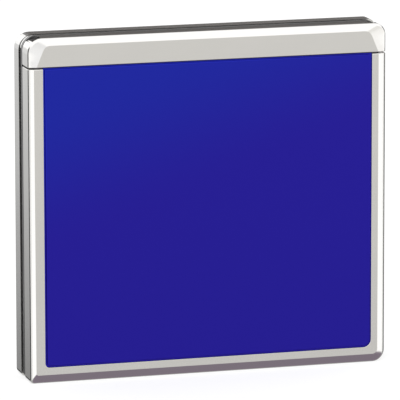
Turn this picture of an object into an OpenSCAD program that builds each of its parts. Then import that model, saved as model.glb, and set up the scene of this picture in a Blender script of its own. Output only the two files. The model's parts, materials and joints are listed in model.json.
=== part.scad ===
// Portable minidisc player with a hinged lid, standing upright on its lower edge.
// X runs to the right of the front face, Y runs from the front plate to the back, Z runs up.
// The origin lies on the lower edge, in the middle of the width and of the depth.

/* [Case] */
// Width of the closed player
case_w = 78.4; // [77.8:0.1:96]
// Height of the closed player
case_h = 73.5; // [73.3:0.1:90]
// Depth of the closed player, front plate to back
case_t = 13.6; // [13.5:0.1:17]
// Upper right corner radius of the back shell, seen from the front
shell_r = 1.4; // [1.2:0.1:3]
// Rounding of the back shell's rear edge
edge_r = 1.4; // [1:0.1:2]
// Wall of the back shell at its sides
wall = 1.3; // [1:0.1:1.4]
// Wall of the back shell at its back
back_wall = 0.8; // [0.6:0.1:0.8]
// Width of the dark rebate along the back shell's front edge
rebate = 0.75; // [0.3:0.05:0.8]
// How far the top of the back shell lies below the lid's
shell_drop = 0.2; // [0:0.05:0.25]

/* [Lid] */
// Depth of the lid, bevelled face to parting line
lid_t = 5.2; // [5.2:0.1:5.4]
// Upper right corner radius of the lid
lid_r = 2.4; // [2:0.1:3]
// Upper left corner radius of the lid and the case
top_left_r = 3.2; // [2:0.1:3.2]
// Lower left corner radius of the lid and the case
low_left_r = 0.95; // [0.9:0.05:2.4]
// Lower right corner radius of the lid and the case
low_right_r = 2.6; // [2:0.1:3]
// Width of the bevel around the front
bevel_w = 1.75; // [1.2:0.05:2.2]
// Depth of the bevel around the front
bevel_d = 0.6; // [0.4:0.05:0.8]
// Height of the bar along the hinge side
bar_h = 6.1; // [5:0.1:8]
// Gap between the bar and the frame
bar_gap = 0.18; // [0.1:0.02:0.3]
// Border of the frame beside the blue plate
border = 3.2; // [2.8:0.05:3.6]
// Border of the frame below the blue plate
border_low = 3.4; // [2.8:0.05:3.6]
// Gap between the frame and the blue plate
plate_gap = 0.38; // [0.2:0.02:0.5]
// How far the blue plate stands proud of the frame
plate_proud = 0.2; // [0.1:0.05:0.4]
// Side wall of the lid
lid_wall = 1.5; // [1.4:0.1:1.6]

/* [Disc bay] */
// Width of a disc cartridge
disc_w = 72; // [71:0.1:72.4]
// Length of a disc cartridge
disc_h = 68; // [67:0.1:68]
// Thickness of a disc cartridge
disc_t = 5; // [4.9:0.05:5]
// Sheet thickness of the disc holder
leaf_t = 0.2; // [0.15:0.01:0.22]
// Free space around the cartridge in the holder
disc_play = 0.1; // [0.05:0.05:0.15]
// Case top to cartridge
disc_drop = 3.2; // [3.1:0.1:3.4]

/* [Hinge] */
// Hinge axis below the case top
hinge_drop = 2.1; // [2.1:0.05:2.2]
// Hinge axis in front of the parting line
hinge_in = 0.2; // [0.1:0.1:0.4]
// Radius of the hinge pins
pin_r = 0.45; // [0.4:0.05:0.5]
// Radius of the hinge knuckles
knuckle_r = 0.85; // [0.8:0.05:0.9]

/* [Battery] */
// Width of the rod cell
cell_w = 17; // [15:0.1:17]
// Thickness of the rod cell
cell_t = 5.9; // [5:0.1:5.9]
// Length of the rod cell
cell_h = 66.8; // [60:0.1:66.8]

/* [Drive] */
// Radius of the spindle rotor
rotor_r = 9.5; // [8:0.1:9.6]
// Travel of the optical pickup
sled_travel = 14; // [10:0.1:14]
// Inner position of the lens, from the disc centre
lens_home = 15.4; // [15.2:0.1:16]
// Lead of the lead screw per turn
screw_lead = 1.2; // [0.8:0.1:2]
// Module of the gear teeth
gear_m = 0.25; // [0.2:0.01:0.26]

/* [Controls] */
// Travel of the keys
key_travel = 0.25; // [0.15:0.05:0.25]
// How far the keys stand proud
key_proud = 0.5; // [0.3:0.1:0.8]
// Travel of the hold switch
hold_travel = 2.5; // [1.5:0.1:3]
// Travel of the open slide
open_travel = 2.5; // [1.5:0.1:3]
// Radius of the headphone socket, for a 3.5 mm plug
jack_r = 1.8; // [1.76:0.01:1.85]
// Radius of the power socket
dc_r = 1.3; // [1.1:0.05:1.5]

/* [Fits] */
// Clearance around sliding and turning parts
fit = 0.05; // [0.03:0.01:0.08]
// Clearance between flat faces that pass each other
pass = 0.1; // [0.08:0.01:0.12]

/* [Hidden] */
$fn = 40;

// Depth stack, front to back
front = -case_t / 2;
back = case_t / 2;
frame_front = front + plate_proud;
bevel_back = frame_front + bevel_d;
flange_t = 0.5;
flange_back = frame_front + flange_t;
liner_t = 0.3;
rivet_r = 0.55;
rivet_in = 0.25;
liner_back = flange_back + liner_t;
leaf_front = liner_back + pass;
bay_front = leaf_front + leaf_t;
bay_back = bay_front + disc_t + disc_play;
lip_back = bay_back + leaf_t;
lid_back = frame_front + lid_t;
ring_front = lid_back + 0.4;
rib_front = ring_front + 0.6;
rib_back = rib_front + 0.7;
ring_inset = 0.9;
ring_least_r = 0.3;
shell_front = rib_back + 0.7;
inner_back = back - back_wall;
tab_front = lip_back + 0.2;
cell_front = inner_back - cell_t - 0.1;

// Heights
seam_z = case_h - bar_h;
disc_top = case_h - disc_drop;
disc_low = disc_top - disc_h;
disc_z = disc_top - disc_h / 2;
lid_top_wall = 1.1;

// Hinge
hinge_z = case_h - hinge_drop;
hinge_y = lid_back - hinge_in;
outer_cheek = disc_w / 2 + 0.3;
cheek_w = 1.2;
lid_lug = outer_cheek - 2.1;
lid_lug_w = 1.7;
holder_lug = outer_cheek - 4.1;
holder_lug_w = 1.6;
inner_cheek = outer_cheek - 9.1;
inner_cheek_w = 1;

// Corner radii from the lower left round to the upper left, seen from the front
lid_corners = [low_left_r, low_right_r, lid_r, top_left_r];
shell_corners = [low_left_r, low_right_r, shell_r, top_left_r];

// Front of the lid: corner sizes of its flat face, and inset and depth along the bevel
flat_foot = 0.6;
flat_head = [3.7, 6.4];
lid_crown = [[bevel_w, 0], [bevel_w * 0.5, bevel_d * 0.38], [bevel_w * 0.15, bevel_d * 0.8],
    [bevel_w * 0.04, bevel_d * 1.1], [0, bevel_d * 1.5]];
edge_back = frame_front + bevel_d * 1.5;

// Lid opening for the plate
open_x = case_w / 2 - border;
open_low = border_low;
open_corners = [0.9, 1.7, 1.7, 1.7];
plate_x = open_x - plate_gap;

// Inside of the back shell and of the lid
inside_x = case_w / 2 - wall;
lid_inside_x = case_w / 2 - lid_wall;

// Battery bay, on the left
cell_x0 = wall + 1.3 - case_w / 2;
cell_x1 = cell_x0 + cell_w;
cell_z0 = 3.6;
door_gap = 0.15;
door_x0 = cell_x0 - 0.1;
door_x1 = cell_x1 + 0.1;
door_z0 = 2.8;
door_axis_z = cell_z0 + cell_h + 0.6;
door_axis_y = back - 0.5;
door_top = door_axis_z + 0.5;
door_pin_r = 0.35;
stub = 0.6;

// Drive
chassis_t = 0.5;
chassis_y = shell_front;
chassis_x0 = cell_x1 + 1.2;
chassis_x1 = inside_x - 1.7;
chassis_z0 = 4;
chassis_z1 = disc_top - 1.5;
shaft_y = chassis_y + 2.6;
rotor_front = chassis_y - 1.1;
sled_x0 = lens_home - 5.2;
sled_w = 11.8;
sled_h = 17;
main_shaft_r = 0.9;
side_shaft_r = 0.6;
main_shaft_z = disc_z - 10.5;
side_shaft_z = disc_z + 10.5;
shaft_x0 = 7.5;
shaft_x1 = sled_x0 + sled_w + sled_travel + 0.3;
damper_spots = [[chassis_x0 + 3, 12], [chassis_x0 + 3, chassis_z1 - 7], [22, chassis_z1 - 5],
    [27, 9.5]];
damper_neck = 1.2;
damper_rim = 1.9;

// Opening of the inner frame, around the cartridge, the cell and the drive
ring_x = max(disc_w / 2 + 0.8, shaft_x1 + 0.2, 0.2 - cell_x0);
ring_low = min(disc_low - 0.5, cell_z0 - 1.8);
ring_top = disc_top + 0.6;

// Main board, behind the drive
board_t = 0.6;
board_y = shell_front + 2.6;
board_z0 = disc_z + 15.5;
board_z1 = case_h - 2.2;

// Gears of the sled drive, all along X
gear_x = 3;
gear_w = 1;
screw_z = main_shaft_z - 4.2;
screw_r = 0.8;
gear_y = chassis_y + 2.75;
screw_teeth = 16;
idler_teeth = 16;
pinion_teeth = 10;
idler_z = screw_z - gear_m * (screw_teeth + idler_teeth) / 2;
motor_z = idler_z - gear_m * (idler_teeth + pinion_teeth) / 2;
motor_r = 2.1;

// Right-hand side: sockets, keys and slides
side_x = case_w / 2;
side_y = shell_front + 2.4;
jack_z = case_h - 12.5;
hold_z = case_h - 22.5;
power_z = 16.2;
open_z = 8.5;
spring_x = inside_x - 1.12;
spring_r = 0.32;
anchor_z = open_z - 4.4;
anchor_t = 0.7;
key_z = disc_z + 9;
key_pitch = 5.6;
key_h = 4.4;
key_w = 2.4;
dome_t = 0.4;
key_board_t = 0.15;
key_flange_t = 0.4;
key_flange_x = inside_x - fit - key_flange_t;
dome_x = key_flange_x - key_travel - fit;
key_board_x = dome_x - dome_t - key_board_t;

// Screws that hold the back shell
screw_right = inside_x - 3.3;
screw_left = cell_x1 + 3.2;
screw_low = 4.4;
screw_high = case_h - 4.6;
screw_spots = [for (x = [screw_right, screw_left], z = [screw_low, screw_high]) [x, z]];
bolt_r = 0.7;
boss_r = 1.7;
head_r = 1.3;

// A solid between two depths, drawn in width and height
module slab(y0, y1) {
    translate([0, y1, 0])
        rotate([90, 0, 0])
            linear_extrude(y1 - y0)
                children();
}

// A solid between two widths, drawn in depth and height
module span(x0, x1) {
    translate([x0, 0, 0])
        rotate([90, 0, 90])
            linear_extrude(x1 - x0)
                children();
}

module block(x0, x1, y0, y1, z0, z1) {
    translate([x0, y0, z0])
        cube([x1 - x0, y1 - y0, z1 - z0]);
}

module rod_x(x0, x1, y, z, r) {
    translate([x0, y, z])
        rotate([0, 90, 0])
            cylinder(h = x1 - x0, r = r);
}

module rod_y(y0, y1, x, z, r) {
    translate([x, y0, z])
        rotate([-90, 0, 0])
            cylinder(h = y1 - y0, r = r);
}

module both_sides() {
    children();
    mirror([1, 0, 0])
        children();
}

// Rounded rectangle with its lower edge at z0 and its upper edge at z1
module outline(w, z0, z1, r) {
    translate([-w / 2 + r, z0])
        square([w - 2 * r, z1 - z0]);
    translate([-w / 2, z0 + r])
        square([w, z1 - z0 - 2 * r]);
    for (x = [r - w / 2, w / 2 - r], z = [z0 + r, z1 - r])
        translate([x, z])
            circle(r);
}

// Rectangle with its own radius at each corner, from the lower left round to the upper left
module framed(w, z0, z1, radii) {
    x0 = -w / 2;
    x1 = w / 2;
    polygon([
        [x0, z0 + radii[0]], [x0 + radii[0], z0], [x1 - radii[1], z0], [x1, z0 + radii[1]],
        [x1, z1 - radii[2]], [x1 - radii[2], z1], [x0 + radii[3], z1], [x0, z1 - radii[3]]
    ]);
    for (i = [0 : 3])
        translate([i == 0 || i == 3 ? x0 + radii[i] : x1 - radii[i], i < 2 ? z0 + radii[i] : z1 - radii[i]])
            circle(radii[i]);
}

module rounded_box(x0, x1, z0, z1, r) {
    translate([(x0 + x1) / 2, 0])
        outline(x1 - x0, z0, z1, r);
}

// Oblong with its length along the second direction
module oblong(w, h) {
    translate([-w / 2, -h / 2 + w / 2])
        square([w, h - w]);
    for (side = [-1, 1])
        translate([0, side * (h - w) / 2])
            circle(w / 2);
}

// A wire wound round the X axis
function coil_ring(r, wire, pitch, a, sides) = [
    for (s = [0 : sides - 1])
        let (b = 360 * s / sides, rr = r + wire * cos(b))
        [pitch * a / 360 + wire * sin(b), rr * cos(a), rr * sin(a)]
];
module coil(r, wire, pitch, turns, steps = 14, sides = 6) {
    last = floor(turns * steps);
    points = [for (i = [0 : last]) each coil_ring(r, wire, pitch, 360 * i / steps, sides)];
    walls = [
        for (i = [0 : last - 1], s = [0 : sides - 1])
            let (t = (s + 1) % sides)
            [i * sides + s, (i + 1) * sides + s, (i + 1) * sides + t, i * sides + t]
    ];
    first_cap = [[for (s = [0 : sides - 1]) s]];
    last_cap = [[for (s = [sides - 1 : -1 : 0]) last * sides + s]];
    polyhedron(points, concat(walls, first_cap, last_cap));
}

// Spur gear outline: trapezoid teeth whose tips just clear the pitch circle
module gear_outline(teeth) {
    tip = gear_m * teeth / 2 - 0.02;
    root = tip - gear_m * 1.1;
    step = 360 / teeth;
    polygon([
        for (i = [0 : teeth - 1], k = [[root, -0.36], [tip, -0.18], [tip, 0.18], [root, 0.36]])
            [k[0] * cos(step * (i + k[1])), k[0] * sin(step * (i + k[1]))]
    ]);
}

module gear_at(z, teeth, turn, bore_r, hub_r) {
    span(gear_x, gear_x + gear_w)
        translate([gear_y, z])
            difference() {
                rotate(turn)
                    gear_outline(teeth);
                circle(bore_r);
            }
    difference() {
        rod_x(gear_x + gear_w, gear_x + gear_w + 0.4, gear_y, z, hub_r);
        rod_x(gear_x, gear_x + gear_w + 1, gear_y, z, bore_r);
    }
}

// One depth of the lid's front: at its full inset it is the flat face, with small lower
// corners and long curved upper corners, and at no inset the outside of the lid
module lid_layer(inset) {
    share = inset / bevel_w;
    edge = case_w / 2 - inset;
    hull()
        for (side = [-1, 1]) {
            low_r = side < 0 ? lid_corners[0] : lid_corners[1];
            high_r = side < 0 ? lid_corners[3] : lid_corners[2];
            foot = low_r + (flat_foot - low_r) * share;
            head = [for (size = flat_head) high_r + (size - high_r) * share];
            translate([side * (edge - foot), inset + foot])
                circle(foot);
            translate([side * (edge - head[0]), case_h - inset - head[1]])
                scale(head)
                    circle(1);
        }
}

// Whole outside of the lid, bar and frame together: a crowned bevel with a rounded edge
module lid_block() {
    skin = 0.01;
    union() {
        hull()
            for (step = lid_crown)
                slab(frame_front + step[1], frame_front + step[1] + skin)
                    lid_layer(step[0]);
        slab(edge_back, lid_back)
            framed(case_w, 0, case_h, lid_corners);
    }
}

module lid_cavity() {
    slab(flange_back, lid_back + 1)
        outline(case_w - 2 * lid_wall, lid_wall, case_h - lid_top_wall, 1.2);
}

module rivet_holes(y0, y1, r) {
    side = lid_inside_x - 1;
    bar = seam_z + 2.6;
    for (x = [-side, side], z = [6, 36, seam_z - 4, bar])
        rod_y(y0, y1, x, z, r);
    for (x = [-24, 0, 24], z = [lid_wall + 0.8, bar])
        rod_y(y0, y1, x, z, r);
}

module lid_frame() {
    color("silver")
        difference() {
            intersection() {
                lid_block();
                block(-case_w, case_w, front - 1, back, -1, seam_z - bar_gap);
            }
            lid_cavity();
            slab(front - 1, back)
                framed(2 * open_x, open_low, case_h, open_corners);
            rivet_holes(flange_back - rivet_in, flange_back + 1, rivet_r);
        }
}

module bar_notch() {
    block(outer_cheek - 0.2, outer_cheek + cheek_w + 0.4, bevel_back + 0.9, back,
        case_h - lid_top_wall - 1.5, case_h + 1);
}

module hinge_bar() {
    color("silver")
        difference() {
            union() {
                difference() {
                    intersection() {
                        lid_block();
                        block(-case_w, case_w, front - 1, back, seam_z, case_h + 1);
                    }
                    lid_cavity();
                    block(-outer_cheek - 2, outer_cheek + 2, lid_back - 0.8, back,
                        case_h - 1.4, case_h + 1);
                    both_sides()
                        bar_notch();
                    rivet_holes(flange_back - rivet_in, flange_back + 1, rivet_r);
                }
                both_sides() {
                    rod_x(lid_lug, lid_lug + lid_lug_w, hinge_y, hinge_z, knuckle_r);
                    block(lid_lug, lid_lug + lid_lug_w, hinge_y - knuckle_r - 1, hinge_y - 0.3,
                        hinge_z, case_h - 0.6);
                }
            }
            both_sides()
                rod_x(lid_lug - 1, lid_lug + lid_lug_w + 1, hinge_y, hinge_z, pin_r + fit);
        }
}

// Plate with a step around it that closes the gap to the frame
module front_plate() {
    step_t = 0.2;
    step_play = 0.04;
    color([0.14, 0.13, 0.58])
        difference() {
            union() {
                slab(front, flange_back)
                    framed(2 * plate_x, open_low + plate_gap, case_h,
                        [for (r = open_corners) r - plate_gap]);
                slab(flange_back - step_t, flange_back)
                    framed(2 * (open_x - step_play), open_low + step_play, case_h,
                        [for (r = open_corners) r - step_play]);
            }
            block(-case_w, case_w, front - 1, flange_back - step_t, seam_z - plate_gap, case_h + 1);
            block(-case_w, case_w, front - 1, back, seam_z - step_play, case_h + 1);
        }
}

module lid_liner() {
    color("gainsboro")
        difference() {
            slab(flange_back, liner_back)
                outline(2 * (lid_inside_x - pass), lid_wall + pass, case_h - 2.2, 1.1);
            rivet_holes(flange_back - 1, liner_back + 1, rivet_r);
        }
}

module lid_rivets() {
    color("gray")
        rivet_holes(flange_back - rivet_in, liner_back, rivet_r);
}

// Catch on the inside of the lid's right wall
module lid_catch() {
    color("gray")
        block(lid_inside_x - 1, lid_inside_x, lid_back - 2.2, lid_back - 1.4, open_z - 1, open_z + 1);
}

// Sheet-metal channel that takes the cartridge, open at its lower end
module disc_holder() {
    outer = disc_w / 2 + disc_play + leaf_t;
    inner = outer - leaf_t;
    lip_w = 3.2;
    guard = 1.2;
    color("lightgray")
        difference() {
            union() {
                slab(leaf_front, bay_front)
                    difference() {
                        outline(2 * outer, disc_low + guard, disc_top + leaf_t, 0.4);
                        outline(44, disc_low + 10, disc_low + 30, 3);
                        rounded_box(-22, 22, disc_z + 4, disc_top - 8, 3);
                    }
                both_sides() {
                    block(inner, outer, leaf_front, lip_back, disc_low + guard, disc_top);
                    block(outer - lip_w, outer, bay_back, lip_back, disc_low + guard, disc_top);
                    block(holder_lug, holder_lug + holder_lug_w, hinge_y - knuckle_r,
                        hinge_y + 0.5, disc_top, hinge_z);
                    rod_x(holder_lug, holder_lug + holder_lug_w, hinge_y, hinge_z, knuckle_r);
                }
                block(-outer, outer, leaf_front, lip_back, disc_top, disc_top + leaf_t);
            }
            both_sides() {
                rod_x(holder_lug - 1, holder_lug + holder_lug_w + 1, hinge_y, hinge_z,
                    pin_r + fit);
                rod_y(leaf_front - 1, bay_front + 1, disc_w / 2 - 4, disc_z, 1.2);
            }
        }
}

// Leaf springs that press the cartridge towards the drive
module disc_springs() {
    color("silver")
        both_sides() {
            block(25.5, 28.5, bay_front, bay_front + 0.12, disc_z - 12, disc_z + 12);
            block(25.5, 28.5, bay_front, bay_front + 0.2, disc_z + 9, disc_z + 12);
        }
}

module knuckle_arm(x0, w) {
    rod_x(x0, x0 + w, hinge_y, hinge_z, knuckle_r);
    block(x0, x0 + w, hinge_y, ring_front + 0.3, hinge_z - knuckle_r, hinge_z + knuckle_r);
}

// Outside of the inner frame beside its rib
module ring_outline() {
    framed(case_w - 2 * ring_inset, ring_inset, case_h - ring_inset,
        [for (r = lid_corners) max(r - ring_inset, ring_least_r)]);
}

// Dark inner frame that shows in the parting line, with one rib around it
module mid_frame() {
    tab_w = 5;
    color([0.16, 0.16, 0.17])
        difference() {
            union() {
                difference() {
                    union() {
                        slab(ring_front, shell_front)
                            ring_outline();
                        slab(rib_front, rib_back)
                            framed(case_w - 0.3, 0.15, case_h - 0.15, lid_corners);
                    }
                    slab(ring_front - 1, shell_front + 1)
                        outline(2 * ring_x, ring_low, ring_top, 0.8);
                    rod_x(-outer_cheek, outer_cheek, hinge_y, hinge_z, knuckle_r + pass);
                }
                for (spot = screw_spots)
                    block(spot[0] - tab_w / 2, spot[0] + tab_w / 2, tab_front, shell_front,
                        spot[1] < disc_z ? ring_low - 0.5 : spot[1] - 2,
                        spot[1] < disc_z ? spot[1] + 2 : ring_top + 0.5);
                both_sides() {
                    knuckle_arm(outer_cheek, cheek_w);
                    knuckle_arm(inner_cheek, inner_cheek_w);
                }
            }
            both_sides() {
                rod_x(outer_cheek - 1, outer_cheek + cheek_w - 0.2, hinge_y, hinge_z, pin_r);
                rod_x(inner_cheek - 1, inner_cheek + 2, hinge_y, hinge_z, pin_r);
            }
            for (spot = screw_spots)
                rod_y(tab_front - 1, shell_front + 1, spot[0], spot[1], bolt_r);
            latch_path();
        }
}

module hinge_pins() {
    color("lightsteelblue")
        both_sides()
            rod_x(inner_cheek, outer_cheek + cheek_w - 0.2, hinge_y, hinge_z, pin_r);
}

// Torsion springs on the hinge pins, one leg behind the lid's top wall
module lid_springs() {
    wire = 0.14;
    start = inner_cheek + inner_cheek_w + 0.35;
    color("silver")
        both_sides()
            translate([start, hinge_y, hinge_z])
                coil(pin_r + 0.04 + wire, wire, 0.45, 6, 16, 6);
}

module shell_corner(r) {
    depth = back - shell_front;
    edge = min(edge_r, r - 0.05);
    rotate([-90, 0, 0])
        rotate_extrude() {
            square([r, depth - edge]);
            square([r - edge, depth]);
            translate([r - edge, depth - edge])
                intersection() {
                    circle(edge);
                    square(edge);
                }
        }
}

module key_holes(clear) {
    for (i = [0 : 3])
        span(inside_x - 1, side_x + 2)
            translate([side_y, key_z - i * key_pitch])
                oblong(key_w + 2 * clear, key_h + 2 * clear);
}

module slide_cut(z, w, h, travel, depth) {
    span(side_x - depth, side_x + 2)
        translate([side_y, z + travel / 2])
            oblong(w, h + travel);
}

module back_shell() {
    color("silver")
        difference() {
            union() {
                difference() {
                    hull()
                        for (i = [0 : 3])
                            translate([
                                (i == 0 || i == 3 ? -1 : 1) * (side_x - shell_corners[i]),
                                shell_front,
                                i < 2 ? shell_corners[i] : case_h - shell_drop - shell_corners[i]
                            ])
                                shell_corner(shell_corners[i]);
                    slab(shell_front - 1, inner_back)
                        outline(2 * inside_x, wall, case_h - wall, 1.4);
                    slab(shell_front - 1, shell_front + rebate)
                        difference() {
                            outline(case_w + 4, -2, case_h + 2, 1);
                            ring_outline();
                        }
                }
                for (spot = screw_spots)
                    rod_y(shell_front, inner_back + 0.1, spot[0], spot[1], boss_r);
                block(cell_x1 + 0.25, cell_x1 + 0.65, shell_front + 0.6, inner_back + 0.1,
                    wall - 0.1, case_h - wall + 0.1);
                block(spring_x - 0.45, spring_x + 0.45, side_y - 0.6, inner_back + 0.1, anchor_z,
                    anchor_z + anchor_t);
                for (z = [key_z + 3, key_z - 3 * key_pitch - 3.8])
                    block(key_board_x - 0.2, inside_x + 0.1, side_y - 1.7, side_y + 1.7, z, z + 0.8);
                door_boss(-inside_x - 0.1, door_x0 - door_gap);
                door_boss(door_x1 + door_gap, door_x1 + door_gap + 0.7);
                block(door_x0 + 2, door_x1 - 2, inner_back - 0.5, inner_back, wall - 0.1, door_z0 + 0.6);
            }
            slab(inner_back, back + 1)
                rounded_box(door_x0 - door_gap, door_x1 + door_gap, door_z0 - door_gap,
                    door_top + 0.35, 0.5);
            rod_x(door_x0 - door_gap - stub, door_x1 + door_gap + stub, door_axis_y, door_axis_z,
                door_pin_r + fit);
            for (spot = screw_spots) {
                rod_y(shell_front - 1, back + 1, spot[0], spot[1], bolt_r + fit);
                rod_y(back - 0.55, back + 1, spot[0], spot[1], head_r + fit);
            }
            key_holes(fit);
            slide_cut(hold_z, 2.4, 4.2, hold_travel, 0.7);
            slide_cut(hold_z, 1.1, 2.1, hold_travel, 4);
            slide_cut(open_z, 2.6, 6.4, open_travel, 0.7);
            slide_cut(open_z, 1.3, 3.1, open_travel, 4);
            rod_x(inside_x - 1, side_x + 1, side_y, jack_z, 2.1 + fit);
            rod_x(inside_x - 1, side_x + 1, side_y, power_z, 1.7 + fit);
            slab(back - 0.12, back + 1)
                rounded_box(-8, 28, 22, 42, 1);
            slab(back - 0.2, back + 1)
                rounded_box((door_x0 + door_x1) / 2 - 4, (door_x0 + door_x1) / 2 + 4, 1.3,
                    door_z0, 0.7);
        }
}

module door_boss(x0, x1) {
    block(x0, x1, inner_back - 0.8, inner_back + 0.1, door_axis_z - 0.9, door_axis_z + 0.9);
}

module case_screws() {
    color("gray")
        for (spot = screw_spots)
            difference() {
                union() {
                    rod_y(back - 0.5, back - 0.05, spot[0], spot[1], head_r);
                    rod_y(tab_front + 0.1, back - 0.3, spot[0], spot[1], bolt_r);
                }
                slab(back - 0.32, back + 1)
                    translate([spot[0], spot[1]])
                        for (turn = [0, 90])
                            rotate(turn)
                                square([1.7, 0.4], center = true);
            }
}

module battery_door() {
    color("silver")
        difference() {
            union() {
                slab(inner_back, back)
                    rounded_box(door_x0, door_x1, door_z0, door_top, 0.4);
                rod_x(door_x0 - stub, door_x1 + stub, door_axis_y, door_axis_z, door_pin_r);
            }
            for (i = [0 : 3])
                block((door_x0 + door_x1) / 2 - 3.5, (door_x0 + door_x1) / 2 + 3.5, back - 0.15,
                    back + 1, door_z0 + 1.6 + i * 0.9, door_z0 + 2 + i * 0.9);
        }
}

// Flat rod cell with a raised contact at its upper end
module battery_cell() {
    middle = (cell_x0 + cell_x1) / 2;
    color([0.35, 0.5, 0.42])
        union() {
            slab(cell_front, cell_front + cell_t)
                rounded_box(cell_x0, cell_x1, cell_z0, cell_z0 + cell_h - 0.4, 0.5);
            block(middle - 2.5, middle + 2.5, cell_front + 1.6, cell_front + cell_t - 1.6,
                cell_z0 + cell_h - 1, cell_z0 + cell_h);
        }
}

module battery_spring() {
    turns = 3;
    wire = 0.22;
    rise = (cell_z0 - wall - 2 * wire) / turns;
    color("silver")
        translate([(cell_x0 + cell_x1) / 2, cell_front + cell_t / 2, wall + wire])
            rotate([0, -90, 0])
                coil(1.7, wire, rise, turns, 16, 6);
}

module battery_plate() {
    middle = (cell_x0 + cell_x1) / 2;
    top = cell_z0 + cell_h;
    color("silver")
        union() {
            block(middle - 4, middle + 4, cell_front + 1.4, cell_front + 4, top, top + 0.3);
            block(middle - 4, middle + 4, cell_front + 1.4, cell_front + 1.7, top, case_h - wall);
        }
}

// Steel plate that carries the drive, hung in rubber dampers
module drive_chassis() {
    color([0.62, 0.63, 0.65])
        difference() {
            slab(chassis_y + 0.05, chassis_y + chassis_t)
                difference() {
                    rounded_box(chassis_x0, chassis_x1, chassis_z0, chassis_z1, 2);
                    translate([0, disc_z])
                        circle(rotor_r + 0.5);
                    rounded_box(sled_x0 - 0.6, shaft_x1 + 2, disc_z - sled_h / 2 - 1,
                        disc_z + sled_h / 2 + 1, 0.6);
                    rounded_box(gear_x - 0.6, gear_x + 2.4, motor_z - 2, screw_z + 2.6, 0.4);
                    rounded_box(-13, -2, disc_z + 16, disc_z + 22, 1.5);
                    rounded_box(4, 18, disc_z + 16, disc_z + 22, 1.5);
                    rounded_box(inside_x - 10.8, side_x, jack_z - 3.3, jack_z + 5.2, 0.5);
                    for (spot = screw_spots)
                        translate(spot)
                            circle(boss_r + 0.5);
                }
            for (spot = damper_spots)
                rod_y(chassis_y - 1, chassis_y + 1, spot[0], spot[1], damper_neck + fit);
        }
}

module drive_dampers() {
    color([0.08, 0.08, 0.09])
        for (spot = damper_spots)
            difference() {
                union() {
                    rod_y(chassis_y + chassis_t, chassis_y + 1.4, spot[0], spot[1], damper_rim);
                    rod_y(chassis_y - 0.2, chassis_y + 1.4, spot[0], spot[1], damper_neck);
                    rod_y(chassis_y - 0.5, chassis_y + 0.05, spot[0], spot[1], damper_rim);
                }
                rod_y(chassis_y - 1, chassis_y + 2, spot[0], spot[1], 0.5 + fit);
            }
}

// Shoulder screws through the dampers into the back of the shell
module drive_screws() {
    color("gray")
        for (spot = damper_spots)
            difference() {
                union() {
                    rod_y(chassis_y - 0.75, chassis_y - 0.5, spot[0], spot[1], 1.5);
                    rod_y(chassis_y - 0.6, inner_back, spot[0], spot[1], 0.5);
                    rod_y(chassis_y + 1.4, inner_back, spot[0], spot[1], 1);
                }
                block(spot[0] - 1, spot[0] + 1, chassis_y - 1, chassis_y - 0.62, spot[1] - 0.15,
                    spot[1] + 0.15);
            }
}

module spindle_base() {
    color([0.55, 0.56, 0.58])
        difference() {
            union() {
                slab(chassis_y + 1.4, chassis_y + 1.8)
                    difference() {
                        translate([0, disc_z])
                            circle(rotor_r + 2);
                        translate([rotor_r + 0.2, disc_z - 20])
                            square(40);
                    }
                rod_y(chassis_y + 0.5, chassis_y + 4.4, 0, disc_z, 1.9);
                for (a = [90, 210, 330])
                    rod_y(chassis_y + chassis_t, chassis_y + 1.5, (rotor_r + 1.2) * cos(a) * 0.98,
                        disc_z + (rotor_r + 1.2) * sin(a) * 0.98, 0.6);
            }
            rod_y(chassis_y - 1, chassis_y + 4, 0, disc_z, 0.75 + fit);
        }
}

module spindle_coils() {
    count = 9;
    color([0.72, 0.4, 0.2])
        for (i = [0 : count - 1])
            rotate_about(0, disc_z, i * 360 / count)
                difference() {
                    slab(chassis_y + 0.8, chassis_y + 1.4)
                        translate([0, disc_z + 5])
                            oblong(2.3, 3.6);
                    slab(chassis_y, chassis_y + 2)
                        translate([0, disc_z + 5])
                            oblong(0.8, 2);
                }
}

module rotate_about(x, z, a) {
    translate([x, 0, z])
        rotate([0, a, 0])
            translate([-x, 0, -z])
                children();
}

// Turntable, rotor can and shaft in one
module spindle_rotor() {
    color([0.75, 0.76, 0.78])
        difference() {
            union() {
                rod_y(rotor_front, rotor_front + 0.5, 0, disc_z, rotor_r);
                difference() {
                    rod_y(rotor_front, chassis_y + 1.2, 0, disc_z, rotor_r);
                    rod_y(rotor_front, chassis_y + 2, 0, disc_z, rotor_r - 0.5);
                }
                rod_y(rotor_front - 0.6, rotor_front + 0.1, 0, disc_z, 6.5);
                rod_y(rotor_front - 1.1, chassis_y + 3.9, 0, disc_z, 0.75);
                translate([0, rotor_front - 0.55, disc_z])
                    rotate([90, 0, 0])
                        cylinder(h = 0.5, r1 = 2.4, r2 = 1.8);
            }
            for (i = [0 : 5])
                rotate_about(0, disc_z, 30 + i * 60)
                    rod_y(rotor_front - 2, rotor_front + 1, 0, disc_z + 8, 0.7);
            rod_y(rotor_front - 2, rotor_front - 0.25, 5.4, disc_z, 0.5);
        }
}

// Ring magnet that holds the disc's steel hub plate
module disc_magnet() {
    color([0.2, 0.2, 0.21])
        difference() {
            rod_y(rotor_front - 0.85, rotor_front - 0.6, 0, disc_z, 4.4);
            rod_y(rotor_front - 2, rotor_front, 0, disc_z, 2.6);
        }
}

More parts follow.
